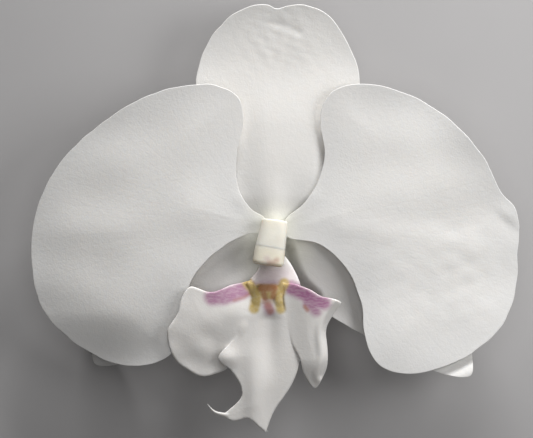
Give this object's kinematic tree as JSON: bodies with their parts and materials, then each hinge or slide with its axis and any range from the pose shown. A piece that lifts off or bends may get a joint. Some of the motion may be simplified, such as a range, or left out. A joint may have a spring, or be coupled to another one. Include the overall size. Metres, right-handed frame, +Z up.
{
  "type": "moth orchid flower",
  "caption": "Single white moth orchid flower, picked with a short stalk and lying face up: broad petals over three sepals, a column with its anther cap, and a lobed lip with a yellow callus.",
  "frame": {"origin": "on the surface that the flower lies on, under the middle of its outline's box", "axes": "+Z up and out of the flower's face, +Y along the dorsal sepal, +X to the right petal as seen looking down on the face"},
  "size_m": [0.1054, 0.0925, 0.0175],
  "materials": {
    "petal": "soft satin white, faintly translucent, with fine veins fanning from the root",
    "sepal": "soft satin white, faintly green at the root",
    "lip": "waxy white, with magenta bands at the root of the side lobes and a yellow callus spotted orange brown",
    "column": "waxy cream",
    "anther_cap": "waxy cream with an orange brown lower rim",
    "pollen": "hard waxy yellow",
    "stipe": "amber, slightly glossy",
    "stalk": "waxy pale green, white where it meets the flower, with shallow ribs"
  },
  "bodies": {
    "root": {"stalk": "stalk", "dorsal_sepal": "sepal", "left_lateral_sepal": "sepal", "right_lateral_sepal": "sepal", "left_petal": "petal", "right_petal": "petal", "lip": "lip", "column": "column", "anther_cap": "anther_cap", "left_pollinium": "pollen", "right_pollinium": "pollen", "stipe": "stipe"}
  },
  "joints": []
}
